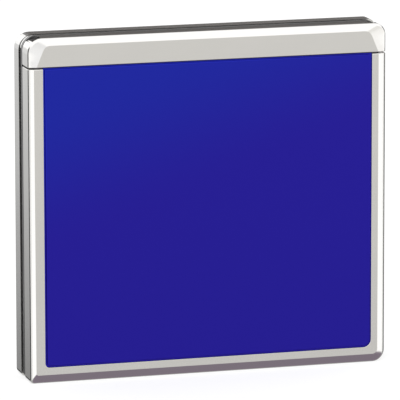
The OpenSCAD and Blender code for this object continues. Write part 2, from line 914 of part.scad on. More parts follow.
module pickup_sled() {
    x1 = sled_x0 + sled_w;
    body_y0 = chassis_y - 0.2;
    body_y1 = chassis_y + 4.3;
    color([0.13, 0.13, 0.14])
        difference() {
            union() {
                slab(body_y0, body_y1)
                    rounded_box(sled_x0, x1, disc_z - sled_h / 2 + 0.6, disc_z + sled_h / 2 - 0.6, 1);
                slab(shaft_y - 1.8, shaft_y + 1.7)
                    rounded_box(sled_x0 + 0.6, x1 - 1.4, main_shaft_z - 1.8, disc_z, 0.8);
                slab(shaft_y - 0.9, shaft_y + 1.2)
                    rounded_box(sled_x0 + 3, x1 - 3, disc_z, side_shaft_z + 1.5, 0.6);
                block(sled_x0 + 3, sled_x0 + 6, gear_y - 1.6, gear_y - screw_r - pass,
                    screw_z - 0.9, main_shaft_z);
            }
            rod_x(sled_x0 - 1, x1 + 1, shaft_y, main_shaft_z, main_shaft_r + fit);
            rod_x(sled_x0 - 1, x1 + 1, shaft_y, side_shaft_z, side_shaft_r + fit);
            rod_y(body_y0 - 1, body_y0 + 2.6, lens_home, disc_z, 2.5);
            slab(body_y0 - 1, body_y0 + 0.25)
                rounded_box(x1 - 3, x1 - 1, disc_z - 6, disc_z + 6, 0.5);
        }
}

// Lens in its ring, with the moving yoke below it
module pickup_lens() {
    top = chassis_y - 0.9;
    color([0.45, 0.4, 0.6])
        difference() {
            union() {
                rod_y(chassis_y - 0.7, chassis_y + 2.4, lens_home, disc_z, 1.9);
                translate([lens_home, top + 0.2, disc_z])
                    rotate([90, 0, 0])
                        cylinder(h = 0.3, r1 = 1.5, r2 = 0.9);
            }
            rod_y(chassis_y + 1.2, chassis_y + 3, lens_home, disc_z, 1.1);
        }
}

module main_shaft() {
    color("lightsteelblue")
        rod_x(shaft_x0 - 0.7, shaft_x1, shaft_y, main_shaft_z, main_shaft_r);
}

module side_shaft() {
    color("lightsteelblue")
        rod_x(shaft_x0 - 0.7, shaft_x1, shaft_y, side_shaft_z, side_shaft_r);
}

// Posts on the chassis that hold the shafts, the lead screw and the idler axle
module shaft_posts() {
    foot = chassis_y + chassis_t;
    color([0.2, 0.2, 0.22])
        difference() {
            union() {
                block(shaft_x0 - 0.7, shaft_x0 + 1, foot, shaft_y + 1.5, main_shaft_z - 1.4,
                    main_shaft_z + 1.1);
                block(shaft_x1 - 1.2, shaft_x1, foot, shaft_y + 1.5, screw_z - 1.4,
                    main_shaft_z + 1.4);
                block(shaft_x0 - 0.7, shaft_x0 + 1, foot, shaft_y + 1.2, side_shaft_z - 1.1,
                    side_shaft_z + 1.1);
                block(shaft_x1 - 1.2, shaft_x1, foot, shaft_y + 1.2, side_shaft_z - 1.1,
                    side_shaft_z + 1.1);
                block(gear_x + 2.6, gear_x + 3.6, foot, gear_y + 1.3, screw_z - 1.2, screw_z + 1.2);
                block(gear_x - 1.6, gear_x - 0.6, foot, gear_y + 1, idler_z - 1, idler_z + 1);
            }
            rod_x(shaft_x0 - 2, shaft_x1 + 2, shaft_y, main_shaft_z, main_shaft_r);
            rod_x(shaft_x0 - 2, shaft_x1 + 2, shaft_y, side_shaft_z, side_shaft_r);
            rod_x(gear_x, shaft_x1 + 2, gear_y, screw_z, 0.5 + fit);
            rod_x(gear_x - 3, gear_x, gear_y, idler_z, 0.4);
        }
}

// Lead screw with its gear; the thread is a row of ridges
module lead_screw() {
    start = gear_x + 3.9;
    end = shaft_x1 - 1.6;
    ridges = floor((end - start) / screw_lead);
    core = screw_r - 0.2;
    color("lightsteelblue")
        union() {
            difference() {
                gear_at(screw_z, screw_teeth, 0, 0.3, 0.9);
                rod_x(gear_x - 1, gear_x + 1.2, gear_y, screw_z, 0.3);
            }
            rod_x(gear_x - 0.2, gear_x + 1.4, gear_y, screw_z, 0.5);
            rod_x(gear_x + 1, shaft_x1 - 0.2, gear_y, screw_z, 0.5);
            translate([start, gear_y, screw_z])
                rotate([0, 90, 0])
                    rotate_extrude()
                        polygon(concat(
                            [[0, 0]],
                            [for (i = [0 : ridges - 1], k = [[core, 0], [screw_r, 0.2], [core, 0.4]])
                                [k[0], (i + k[1]) * screw_lead + 0.01]],
                            [[core, ridges * screw_lead], [0, ridges * screw_lead]]
                        ));
        }
}

module idler_gear() {
    color([0.9, 0.9, 0.86])
        gear_at(idler_z, idler_teeth, 180 / idler_teeth, 0.4 + fit, 0.9);
}

module idler_axle() {
    color("lightsteelblue")
        union() {
            rod_x(gear_x - 1.6, gear_x + gear_w + 0.5, gear_y, idler_z, 0.4);
            rod_x(gear_x + gear_w + 0.45, gear_x + gear_w + 0.65, gear_y, idler_z, 0.7);
        }
}

module sled_motor() {
    x1 = gear_x - 1.9;
    color([0.7, 0.71, 0.72])
        difference() {
            union() {
                rod_x(x1 - 10, x1, gear_y, motor_z, motor_r);
                rod_x(x1 - 0.1, x1 + 0.5, gear_y, motor_z, 0.9);
                block(x1 - 9, x1 - 1, chassis_y + chassis_t, gear_y, motor_z - 1.6, motor_z + 1.6);
            }
            rod_x(x1 - 2, x1 + 2, gear_y, motor_z, 0.3 + fit);
        }
}

module motor_pinion() {
    color([0.85, 0.75, 0.4])
        union() {
            difference() {
                span(gear_x, gear_x + gear_w)
                    translate([gear_y, motor_z])
                        rotate(180 / pinion_teeth)
                            gear_outline(pinion_teeth);
                rod_x(gear_x - 1, gear_x + gear_w + 1, gear_y, motor_z, 0.3);
            }
            rod_x(gear_x - 3.6, gear_x + gear_w, gear_y, motor_z, 0.3);
        }
}

module pickup_flex() {
    low = disc_z - 4;
    color([0.75, 0.5, 0.2])
        union() {
            slab(inner_back - 0.15, inner_back - 0.02)
                rounded_box(14, 22, low, board_z0 + 3, 1);
            block(15, 21, board_y + board_t, inner_back - 0.02, board_z0 + 1.6, board_z0 + 2);
        }
}

module main_board() {
    color([0.1, 0.35, 0.18])
        slab(board_y, board_y + board_t)
            difference() {
                rounded_box(cell_x1 + 1.4, 26.4, board_z0, board_z1, 0.5);
                for (spot = concat(screw_spots, damper_spots))
                    translate(spot)
                        circle(boss_r + 0.35);
            }
}

// Chips, capacitors and the board's feet on the chassis
module board_chips() {
    color([0.09, 0.09, 0.1])
        union() {
            block(-6, 4, board_y + board_t, board_y + 1.6, board_z0 + 3, board_z0 + 12);
            block(6.5, 13, board_y + board_t, board_y + 1.4, board_z0 + 6, board_z0 + 12);
            block(-14, -9, board_y + board_t, board_y + 1.5, board_z0 + 2, board_z0 + 6);
            block(14.5, 21.5, board_y + board_t, board_y + 1.1, board_z0 + 3.4, board_z0 + 5);
            for (i = [0 : 3])
                block(-13.4 + i * 1.8, -12.4 + i * 1.8, board_y + board_t, board_y + 1.1, board_z0 + 9,
                    board_z0 + 10.8);
            for (x = [-11, 2, 12])
                block(x, x + 1.2, chassis_y + chassis_t, board_y, board_z0 + 9, board_z0 + 10.2);
        }
}

module key_board() {
    x0 = key_board_x;
    color([0.1, 0.35, 0.18])
        block(x0, x0 + key_board_t, side_y - 1.7, side_y + 1.7, key_z - 3 * key_pitch - 3, key_z + 3);
}

module key_domes() {
    color("silver")
        for (i = [0 : 3]) {
            z = key_z - i * key_pitch;
            block(dome_x - dome_t, dome_x - 0.2, side_y - 1.2, side_y + 1.2, z - 1.2, z + 1.2);
            rod_x(dome_x - 0.3, dome_x, side_y, z, 0.7);
        }
}

module key_cap(place, mark) {
    z = key_z - place * key_pitch;
    color([0.72, 0.73, 0.75])
        difference() {
            union() {
                span(key_flange_x, side_x + key_proud)
                    translate([side_y, z])
                        oblong(key_w, key_h);
                span(key_flange_x, key_flange_x + key_flange_t)
                    translate([side_y, z])
                        oblong(key_w + 0.7, key_h + 0.7);
            }
            span(side_x + key_proud - 0.12, side_x + key_proud + 1)
                translate([side_y, z])
                    key_mark(mark);
        }
}

// Plain signs cut into the keys
module key_mark(kind) {
    if (kind == "go")
        polygon([[-0.55, -0.7], [0.65, 0], [-0.55, 0.7]]);
    if (kind == "halt")
        square(1.1, center = true);
    if (kind == "more" || kind == "less")
        square([1.4, 0.3], center = true);
    if (kind == "more")
        square([0.3, 1.4], center = true);
}

module play_key() {
    key_cap(0, "go");
}

module stop_key() {
    key_cap(1, "halt");
}

module louder_key() {
    key_cap(2, "more");
}

module softer_key() {
    key_cap(3, "less");
}

// Knob in its track, neck through the slot and a foot that keeps it in
module slide_knob(z, w, h, neck_w, neck_h, ridges) {
    difference() {
        union() {
            span(side_x - 0.65, side_x + 0.55)
                translate([side_y, z])
                    oblong(w, h);
            span(inside_x - 0.6, side_x - 0.6)
                translate([side_y, z])
                    oblong(neck_w, neck_h);
            span(inside_x - 0.6, inside_x - fit)
                translate([side_y, z])
                    oblong(w, neck_h + 1);
        }
        for (i = [0 : ridges - 1])
            block(side_x + 0.4, side_x + 1, side_y - w, side_y + w,
                z + (i - (ridges - 1) / 2) * 0.7 - 0.15, z + (i - (ridges - 1) / 2) * 0.7 + 0.15);
    }
}

module hold_switch() {
    color([0.72, 0.73, 0.75])
        slide_knob(hold_z, 2.3, 4.1, 1, 2, 3);
}

// Slide that frees the lid, with the latch arm that reaches into the lid
module open_slide() {
    arm_x1 = lid_inside_x - 0.05;
    arm_x0 = arm_x1 - 0.65;
    arm_z0 = open_z + 1.15;
    color([0.72, 0.73, 0.75])
        union() {
            slide_knob(open_z, 2.5, 6.3, 1.2, 3, 5);
            block(arm_x0, inside_x - fit, shell_front + 0.3, side_y + 1, arm_z0, arm_z0 + 1.4);
            block(arm_x0, arm_x1, lid_back - 1.2, side_y, arm_z0, arm_z0 + 1.4);
            block(arm_x0 - 0.25, arm_x1, lid_back - 2, lid_back - 1.1, arm_z0, arm_z0 + 1.4);
            block(spring_x - 0.45, arm_x0 + 0.1, side_y - 0.6, side_y + 0.6, arm_z0, arm_z0 + 0.5);
        }
}

// Way of the latch arm through the inner frame
module latch_path() {
    block(lid_inside_x - 1.2, lid_inside_x + 0.1, ring_front - 1, shell_front + 1, open_z + 1.15 - 0.15,
        open_z + 1.15 + 1.4 + open_travel + 0.15);
}

module latch_spring() {
    wire = 0.12;
    turns = 5;
    rise = (open_z + 1.15 - anchor_z - anchor_t - 2 * wire) / turns;
    color("silver")
        translate([spring_x, side_y, anchor_z + anchor_t + wire])
            rotate([0, -90, 0])
                coil(spring_r, wire, rise, turns, 12, 6);
}

module headphone_jack() {
    color([0.12, 0.12, 0.13])
        difference() {
            union() {
                rod_x(inside_x - 0.3, side_x - 0.1, side_y, jack_z, 2.1);
                block(inside_x - 10, inside_x - 0.1, shell_front + 0.1, inner_back - 0.1,
                    jack_z - 2.7, jack_z + 4.6);
            }
            rod_x(inside_x - 9, side_x + 1, side_y, jack_z, jack_r);
        }
}

// Spring contacts at the inner end of the socket
module jack_contacts() {
    color([0.85, 0.7, 0.35])
        for (z = [jack_z + 3.2, jack_z + 3.9])
            block(inside_x - 11, inside_x - 10, side_y - 0.6, side_y + 0.6, z - 0.15, z + 0.15);
}

module power_jack() {
    color([0.12, 0.12, 0.13])
        difference() {
            union() {
                rod_x(inside_x - 0.3, side_x - 0.1, side_y, power_z, 1.7);
                block(inside_x - 7, inside_x - 0.1, chassis_y + chassis_t + 0.1, inner_back - 0.1,
                    power_z - 2.4, power_z + 2.4);
            }
            rod_x(inside_x - 6, side_x + 1, side_y, power_z, dc_r);
        }
}

module power_pin() {
    color([0.85, 0.7, 0.35])
        rod_x(inside_x - 6, side_x - 0.6, side_y, power_z, 0.35);
}

back_shell();
mid_frame();
case_screws();
battery_door();
battery_cell();
battery_spring();
battery_plate();
lid_frame();
hinge_bar();
front_plate();
lid_liner();
lid_rivets();
lid_catch();
disc_holder();
disc_springs();
hinge_pins();
lid_springs();
drive_chassis();
drive_screws();
drive_dampers();
spindle_base();
spindle_coils();
spindle_rotor();
disc_magnet();
pickup_sled();
pickup_lens();
main_shaft();
side_shaft();
shaft_posts();
lead_screw();
idler_gear();
idler_axle();
sled_motor();
motor_pinion();
pickup_flex();
main_board();
board_chips();
key_board();
key_domes();
play_key();
stop_key();
louder_key();
softer_key();
hold_switch();
open_slide();
latch_spring();
headphone_jack();
jack_contacts();
power_jack();
power_pin();
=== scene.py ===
# %% [markdown]
# A portable minidisc player, standing on its lower edge. Its construction comes from the packed
# frame: every node is already at its real size and place. This notebook gives it its looks.
# Everything is in metres, with X to the right, Y from the front plate to the back and Z up.

# %% Load the frame
import json
import math

import bmesh
import bpy
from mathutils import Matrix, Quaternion, Vector


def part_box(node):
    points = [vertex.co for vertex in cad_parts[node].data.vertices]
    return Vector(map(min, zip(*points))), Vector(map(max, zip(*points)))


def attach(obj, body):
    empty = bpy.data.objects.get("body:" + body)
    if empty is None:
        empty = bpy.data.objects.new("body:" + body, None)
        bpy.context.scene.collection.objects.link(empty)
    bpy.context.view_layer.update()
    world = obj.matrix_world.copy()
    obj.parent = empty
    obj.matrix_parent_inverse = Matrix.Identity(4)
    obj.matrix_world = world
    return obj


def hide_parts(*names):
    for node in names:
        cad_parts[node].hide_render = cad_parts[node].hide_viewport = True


MM = 0.001
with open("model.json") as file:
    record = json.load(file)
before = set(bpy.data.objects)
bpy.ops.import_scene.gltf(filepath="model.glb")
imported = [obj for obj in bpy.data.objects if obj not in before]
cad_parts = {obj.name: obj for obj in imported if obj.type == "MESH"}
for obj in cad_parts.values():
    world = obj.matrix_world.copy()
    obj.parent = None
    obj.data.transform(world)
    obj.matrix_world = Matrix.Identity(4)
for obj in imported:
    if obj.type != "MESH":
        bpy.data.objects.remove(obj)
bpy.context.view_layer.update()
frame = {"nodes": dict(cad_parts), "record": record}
nodes = frame["nodes"]

# %% [markdown]
# The camera comes first. The photograph was taken from the left and a little above, with a long
# lens, so the player's edges stay almost parallel. The angles were found by fitting the lid's
# edges, and the aim point is where the middle of the picture meets the front.

# %% Camera
YAW = math.radians(16)
RISE = math.radians(10.83)
ROLL = math.radians(-0.121)
AIM = Vector((-2.09, -6.6, 37.58)) * MM
DISTANCE = 1.0
FOCAL = 426
SENSOR = 36

towards_camera = Vector((
    -math.sin(YAW) * math.cos(RISE),
    -math.cos(YAW) * math.cos(RISE),
    math.sin(RISE),
))
lens = bpy.data.cameras.new("camera")
lens.lens = FOCAL
lens.sensor_width = SENSOR
lens.clip_start = 0.01
lens.clip_end = 100
camera = bpy.data.objects.new("camera", lens)
camera.location = AIM + towards_camera * DISTANCE
camera.rotation_mode = "QUATERNION"
camera.rotation_quaternion = (-towards_camera).to_track_quat("-Z", "Y") @ Quaternion((0, 0, 1), ROLL)
bpy.context.scene.collection.objects.link(camera)
bpy.context.scene.camera = camera
bpy.context.scene.view_settings.view_transform = "Standard"
print("camera at", [round(v, 3) for v in camera.location])

# %% [markdown]
# Polished metal has little colour of its own: it shows the studio around it. The studio is
# therefore painted into the world, as a white room with a few darker places, by azimuth and
# elevation. A real set does the same with white softboxes and grey cards. A small helper makes
# a soft step, and every card is built from two or four of them.

# %% Helpers for shader trees
def link(tree, value, socket):
    if isinstance(value, bpy.types.NodeSocket):
        tree.links.new(value, socket)
    else:
        socket.default_value = value


def maths(tree, operation, first, second=0.0):
    node = tree.nodes.new("ShaderNodeMath")
    node.operation = operation
    link(tree, first, node.inputs[0])
    link(tree, second, node.inputs[1])
    return node.outputs[0]


def soft_step(tree, value, start, end, low=0.0, high=1.0):
    node = tree.nodes.new("ShaderNodeMapRange")
    node.interpolation_type = "SMOOTHSTEP"
    link(tree, value, node.inputs["Value"])
    node.inputs["From Min"].default_value = start
    node.inputs["From Max"].default_value = end
    node.inputs["To Min"].default_value = low
    node.inputs["To Max"].default_value = high
    return node.outputs["Result"]


def window(tree, value, low, high, soft):
    rise = soft_step(tree, value, low - soft, low + soft)
    fall = soft_step(tree, value, high - soft, high + soft, 1.0, 0.0)
    return maths(tree, "MULTIPLY", rise, fall)


def mix_colour(tree, share, first, second):
    node = tree.nodes.new("ShaderNodeMix")
    node.data_type = "RGBA"
    link(tree, share, node.inputs["Factor"])
    link(tree, first, node.inputs["A"])
    link(tree, second, node.inputs["B"])
    return node.outputs["Result"]


def grey(level):
    return (level, level, level, 1.0)


# %% World: directions in degrees
DEGREES = 180 / math.pi

world = bpy.data.worlds.new("studio")
bpy.context.scene.world = world
world.use_nodes = True
tree = world.node_tree
tree.nodes.clear()
spot = tree.nodes.new("ShaderNodeTexCoord").outputs["Generated"]
split = tree.nodes.new("ShaderNodeSeparateXYZ")
tree.links.new(spot, split.inputs[0])
right, back, up = split.outputs
heading = maths(tree, "ARCTAN2", right, maths(tree, "MULTIPLY", back, -1.0))
azimuth = maths(tree, "MULTIPLY", heading, DEGREES)
elevation = maths(tree, "MULTIPLY", maths(tree, "ARCSINE", up), DEGREES)
print("azimuth 0 is the player's front, and 90 its right side")

# %% [markdown]
# The front card is what the lid's flat front mirrors towards the camera. It is a little lighter
# towards its top. The other cards are listed one to a line, so a single reflection can be changed
# without touching the rest.

# %% World: cards
SOFTBOX = 1.35
CARD_HIGH = (0.785, 0.775, 0.75, 1.0)
CARD_LOW = (0.68, 0.675, 0.66, 1.0)
FRONT_CARD = (7, 27, 3)  # azimuth from, to, softness
FRONT_CARD_TOP = (-4, 0)  # elevations between which it ends
CARD_TURN = (-13.5, -8.5)  # elevations between which it gets lighter
CARDS = [
    # azimuth from, to, softness, elevation from, to, softness, colour
    (-24, 3, 3, -6, 9, 3, (1.12, 1.125, 1.14, 1.0)),
    (-7, 9, 3, 3, 17, 4, (1.04, 1.045, 1.055, 1.0)),
    (29, 56, 3, -6, 9, 3, (1.21, 1.2, 1.185, 1.0)),
    (23, 41, 3, 3, 17, 4, (1.03, 1.02, 0.99, 1.0)),
    (72, 190, 6, -60, 28, 5, grey(0.62)),
    (66, 122, 4, -60, -6, 2, grey(0.12)),
    (66, 122, 4, 2, 28, 2, grey(0.12)),
    (136, 178, 3, -5, 21, 3, (0.172, 0.163, 0.158, 1.0)),
    (-124, -54, 7, -60, 25, 8, grey(0.06)),
]

across = window(tree, azimuth, *FRONT_CARD)
front_card = maths(tree, "MULTIPLY", across, soft_step(tree, elevation, *FRONT_CARD_TOP, 1.0, 0.0))
card = mix_colour(tree, soft_step(tree, elevation, *CARD_TURN), CARD_LOW, CARD_HIGH)
room = mix_colour(tree, front_card, grey(SOFTBOX), card)
for low, high, soft, foot, head, fade, colour in CARDS:
    across = window(tree, azimuth, low, high, soft)
    upright = window(tree, elevation, foot, head, fade)
    room = mix_colour(tree, maths(tree, "MULTIPLY", across, upright), room, colour)
print(len(CARDS) + 1, "cards")

# %% [markdown]
# Low down, the metal shows the table. At the back left it is in shade close to the player and
# lighter further out, and below the front it is dark with a little violet. The room lights dull
# surfaces with one plain level, and the camera sees white where the floor ends.

# %% World: the table, and what each kind of ray sees
LEFT_FLOOR = (-186, -112, 6)  # azimuth from, to, softness
LEFT_FLOOR_TOP = (-1, 4)
LEFT_FLOOR_RAMP = {"From Min": -15, "From Max": -8, "To Min": 0.06, "To Max": 0.86}
UNDER = (0.255, 0.215, 0.262, 1.0)
UNDER_FRONT = (-24, 66, 8)  # azimuth from, to, softness
UNDER_TOP = (-27, -19)
UNDER_ELSEWHERE = 0.5
ROOM_LIGHT = 0.72

across = window(tree, azimuth, *LEFT_FLOOR)
left_floor = maths(tree, "MULTIPLY", across, soft_step(tree, elevation, *LEFT_FLOOR_TOP, 1.0, 0.0))
shade = tree.nodes.new("ShaderNodeMapRange")
tree.links.new(elevation, shade.inputs["Value"])
for title, value in LEFT_FLOOR_RAMP.items():
    shade.inputs[title].default_value = value
room = mix_colour(tree, left_floor, room, shade.outputs["Result"])
below = soft_step(tree, elevation, *UNDER_TOP, 1.0, 0.0)
under = mix_colour(tree, window(tree, azimuth, *UNDER_FRONT), grey(UNDER_ELSEWHERE), UNDER)
room = mix_colour(tree, below, room, under)

shown = tree.nodes.new("ShaderNodeLightPath")
for_diffuse = mix_colour(tree, shown.outputs["Is Diffuse Ray"], room, grey(ROOM_LIGHT))
for_camera = mix_colour(tree, shown.outputs["Is Camera Ray"], for_diffuse, grey(1.0))
light = tree.nodes.new("ShaderNodeBackground")
tree.links.new(for_camera, light.inputs["Color"])
output = tree.nodes.new("ShaderNodeOutputWorld")
tree.links.new(light.outputs[0], output.inputs["Surface"])
print("world with", len(tree.nodes), "nodes")

# %% [markdown]
# The floor is pale and shows as white, but it keeps a soft shadow where the player stands. Most
# of its brightness to the camera is its own, and the rest is the light that falls on it.

# %% Floor
FLOOR_SIZE = 60
FLOOR_DROP = 0.02
FLOOR_OWN = 0.70
FLOOR_HIDDEN = 0.25  # its own brightness to every ray but the camera's
FLOOR_LIT = 0.40

bpy.ops.mesh.primitive_plane_add(size=FLOOR_SIZE, location=(0, 0, -FLOOR_DROP * MM))
floor = bpy.context.active_object
floor.name = "floor"
floor.visible_glossy = False
paint = bpy.data.materials.new("pale_floor")
paint.use_nodes = True
tree = paint.node_tree
tree.nodes.clear()
shown = tree.nodes.new("ShaderNodeLightPath")
own = tree.nodes.new("ShaderNodeEmission")
own.inputs["Strength"].default_value = FLOOR_OWN
hidden = tree.nodes.new("ShaderNodeEmission")
hidden.inputs["Strength"].default_value = FLOOR_HIDDEN
pick = tree.nodes.new("ShaderNodeMixShader")
lit = tree.nodes.new("ShaderNodeBsdfDiffuse")
lit.inputs["Color"].default_value = grey(FLOOR_LIT)
total = tree.nodes.new("ShaderNodeAddShader")
output = tree.nodes.new("ShaderNodeOutputMaterial")
tree.links.new(shown.outputs["Is Camera Ray"], pick.inputs["Fac"])
tree.links.new(hidden.outputs[0], pick.inputs[1])
tree.links.new(own.outputs[0], pick.inputs[2])
tree.links.new(pick.outputs[0], total.inputs[0])
tree.links.new(lit.outputs[0], total.inputs[1])
tree.links.new(total.outputs[0], output.inputs["Surface"])
floor.data.materials.append(paint)
print("floor of", FLOOR_SIZE, "m")

# %% [markdown]
# Two large square softboxes light the player, the stronger one from the front left. They are kept
# out of reflections, because the cards in the world already give the metal what it shows.

# %% Lamps
LAMP_AIM = Vector((0, 0, 0.03))
SOFTBOXES = {
    # name: place, size, power
    "key_softbox": (Vector((-0.5, -0.8, 1.0)), 0.7, 4.5),
    "fill_softbox": (Vector((0.9, 0.5, 0.8)), 0.8, 2.5),
}


def softbox(name, place, size, power):
    data = bpy.data.lights.new(name, "AREA")
    data.shape = "SQUARE"
    data.size = size
    data.energy = power
    lamp = bpy.data.objects.new(name, data)
    lamp.location = place
    lamp.rotation_mode = "QUATERNION"
    lamp.rotation_quaternion = (LAMP_AIM - lamp.location).to_track_quat("-Z", "Y")
    lamp.visible_glossy = False
    bpy.context.scene.collection.objects.link(lamp)


for name, (place, size, power) in SOFTBOXES.items():
    softbox(name, place, size, power)
print(len(SOFTBOXES), "softboxes")

# %% [markdown]
# Effects that several finishes share are node groups, built once. Each has named inputs, so every
# material that uses it can have its own values.

# %% Helpers for shared effects
FLOAT = "NodeSocketFloat"
COLOUR = "NodeSocketColor"


def new_group(name, inputs, outputs):
    group = bpy.data.node_groups.new(name, "ShaderNodeTree")
    for title, kind, value in inputs:
        socket = group.interface.new_socket(title, in_out="INPUT", socket_type=kind)
        socket.default_value = value
    for title, kind in outputs:
        group.interface.new_socket(title, in_out="OUTPUT", socket_type=kind)
    entry = group.nodes.new("NodeGroupInput")
    leave = group.nodes.new("NodeGroupOutput")
    return group, entry, leave


def noise(tree, scale, detail, stretch=None):
    place = tree.nodes.new("ShaderNodeTexCoord").outputs["Object"]
    if stretch:
        mapping = tree.nodes.new("ShaderNodeMapping")
        mapping.inputs["Scale"].default_value = stretch
        tree.links.new(place, mapping.inputs["Vector"])
        place = mapping.outputs[0]
    node = tree.nodes.new("ShaderNodeTexNoise")
    node.inputs["Detail"].default_value = detail
    link(tree, scale, node.inputs["Scale"])
    tree.links.new(place, node.inputs["Vector"])
    return node.outputs["Fac"]


def vary_roughness(group, pattern, entry, leave):
    """The roughness wanders round its set value as the pattern does round one half."""
    wander = maths(group, "MULTIPLY", maths(group, "SUBTRACT", pattern, 0.5), entry.outputs["Spread"])
    link(group, maths(group, "ADD", wander, entry.outputs["Roughness"]), leave.inputs["Roughness"])


# %% [markdown]
# `fine_grain` is the slight unevenness that every real surface has: it varies the roughness and
# gives a height for a bump. `brushed` does the same with long fine lines along X, as a sheet has
# after brushing.

# %% Fine grain and brushed lines
SPECK_SHARE = 0.4
CLOUD_SHARE = 0.6
CLOUD_SCALE = 140.0
BRUSH_STRETCH = (150, 3000, 6000)

fine_grain, entry, leave = new_group(
    "fine_grain",
    [("Scale", FLOAT, 4000.0), ("Roughness", FLOAT, 0.3), ("Spread", FLOAT, 0.08)],
    [("Roughness", FLOAT), ("Height", FLOAT)])
speck = noise(fine_grain, entry.outputs["Scale"], 3.0)
cloud = noise(fine_grain, CLOUD_SCALE, 2.0)
both = maths(fine_grain, "ADD", maths(fine_grain, "MULTIPLY", speck, SPECK_SHARE),
             maths(fine_grain, "MULTIPLY", cloud, CLOUD_SHARE))
vary_roughness(fine_grain, both, entry, leave)
link(fine_grain, speck, leave.inputs["Height"])

brushed, entry, leave = new_group(
    "brushed",
    [("Scale", FLOAT, 1.0), ("Roughness", FLOAT, 0.3), ("Spread", FLOAT, 0.1)],
    [("Roughness", FLOAT), ("Height", FLOAT)])
lines = noise(brushed, entry.outputs["Scale"], 3.0, BRUSH_STRETCH)
vary_roughness(brushed, lines, entry, leave)
link(brushed, lines, leave.inputs["Height"])
print("fine_grain and brushed")

# %% [markdown]
# `tracks` is the pattern of copper runs under a board's lacquer. A brick texture gives it: the
# joints between long low bricks are the runs.

# %% Board tracks
TRACK_W = 0.09
TRACK_LENGTH = 5.3
TRACK_PITCH = 0.9
TRACK_SHIFT = 0.37

tracks, entry, leave = new_group(
    "tracks",
    [("Ground", COLOUR, grey(0.1)), ("Run", COLOUR, grey(0.2))],
    [("Colour", COLOUR), ("Height", FLOAT)])
mapping = tracks.nodes.new("ShaderNodeMapping")
mapping.inputs["Rotation"].default_value = (math.pi / 2, 0, 0)
tracks.links.new(tracks.nodes.new("ShaderNodeTexCoord").outputs["Object"], mapping.inputs["Vector"])
runs = tracks.nodes.new("ShaderNodeTexBrick")
tracks.links.new(mapping.outputs[0], runs.inputs["Vector"])
runs.offset = TRACK_SHIFT
runs.inputs["Scale"].default_value = 1.0
runs.inputs["Mortar Size"].default_value = TRACK_W * MM
runs.inputs["Mortar Smooth"].default_value = 0.0
runs.inputs["Brick Width"].default_value = TRACK_LENGTH * MM
runs.inputs["Row Height"].default_value = TRACK_PITCH * MM
lacquer = mix_colour(tracks, runs.outputs["Fac"], entry.outputs["Ground"], entry.outputs["Run"])
link(tracks, lacquer, leave.inputs["Colour"])
link(tracks, runs.outputs["Fac"], leave.inputs["Height"])
print("tracks every", TRACK_PITCH, "mm")

# %% [markdown]
# `colour_drift` makes a colour wander slowly, as paint and rubber do. `sheen_fade` paints a sheen:
# it changes a colour from one corner of a sheet to the opposite one, as a lighter reflection would.

# %% Slow changes of colour, and a painted sheen
DIAGONAL = -0.35  # how far the fade leans from upright

colour_drift, entry, leave = new_group(
    "colour_drift",
    [("Colour", COLOUR, grey(0.5)), ("Second", COLOUR, grey(0.4)), ("Scale", FLOAT, 90.0)],
    [("Colour", COLOUR)])
share = soft_step(colour_drift, noise(colour_drift, entry.outputs["Scale"], 2.0), 0.3, 0.7)
drifted = mix_colour(colour_drift, share, entry.outputs["Colour"], entry.outputs["Second"])
link(colour_drift, drifted, leave.inputs["Colour"])

# A painted sheen: the second colour stands in for a lighter reflection towards one corner.
sheen_fade, entry, leave = new_group(
    "sheen_fade",
    [("Colour", COLOUR, grey(0.5)), ("Second", COLOUR, grey(0.4)),
     ("From", FLOAT, 0.04), ("To", FLOAT, 0.072)],
    [("Colour", COLOUR)])
split = sheen_fade.nodes.new("ShaderNodeSeparateXYZ")
sheen_fade.links.new(sheen_fade.nodes.new("ShaderNodeTexCoord").outputs["Object"], split.inputs[0])
leaning = maths(sheen_fade, "MULTIPLY", split.outputs["X"], DIAGONAL)
diagonal = maths(sheen_fade, "ADD", split.outputs["Z"], leaning)
share = sheen_fade.nodes.new("ShaderNodeMapRange")
share.interpolation_type = "SMOOTHSTEP"
link(sheen_fade, diagonal, share.inputs["Value"])
link(sheen_fade, entry.outputs["From"], share.inputs["From Min"])
link(sheen_fade, entry.outputs["To"], share.inputs["From Max"])
faded = mix_colour(sheen_fade, share.outputs["Result"], entry.outputs["Colour"], entry.outputs["Second"])
link(sheen_fade, faded, leave.inputs["Colour"])
print("node groups:", [g.name for g in bpy.data.node_groups])

# %% [markdown]
# The player has bare and polished metal outside, and plastics, rubber, boards and gears inside.
# They differ mostly in colour, metallic and roughness, so one helper makes them all from a table.
# Each takes the grain from a shared group, and the sheets take the brushed lines instead.

# %% Finishes
RELIEF_DEPTH = 0.05


def place_group(tree, group, **values):
    node = tree.nodes.new("ShaderNodeGroup")
    node.node_tree = group
    for title, value in values.items():
        link(tree, value, node.inputs[title])
    return node


def finish(name, colour, second, metallic, roughness, texture=fine_grain, scale=4000.0, bump=0.02):
    material = bpy.data.materials.new(name)
    material.use_nodes = True
    tree = material.node_tree
    surface = tree.nodes["Principled BSDF"]
    surface.inputs["Metallic"].default_value = metallic
    drift = place_group(tree, colour_drift, Colour=(*colour, 1.0), Second=(*second, 1.0))
    tree.links.new(drift.outputs["Colour"], surface.inputs["Base Color"])
    relief_from = place_group(tree, texture, Scale=scale, Roughness=roughness)
    tree.links.new(relief_from.outputs["Roughness"], surface.inputs["Roughness"])
    relief = tree.nodes.new("ShaderNodeBump")
    relief.inputs["Strength"].default_value = bump
    relief.inputs["Distance"].default_value = RELIEF_DEPTH * MM
    tree.links.new(relief_from.outputs["Height"], relief.inputs["Height"])
    tree.links.new(relief.outputs["Normal"], surface.inputs["Normal"])
    return material


def near(colour, factor):
    return tuple(min(1.0, c * factor) for c in colour)


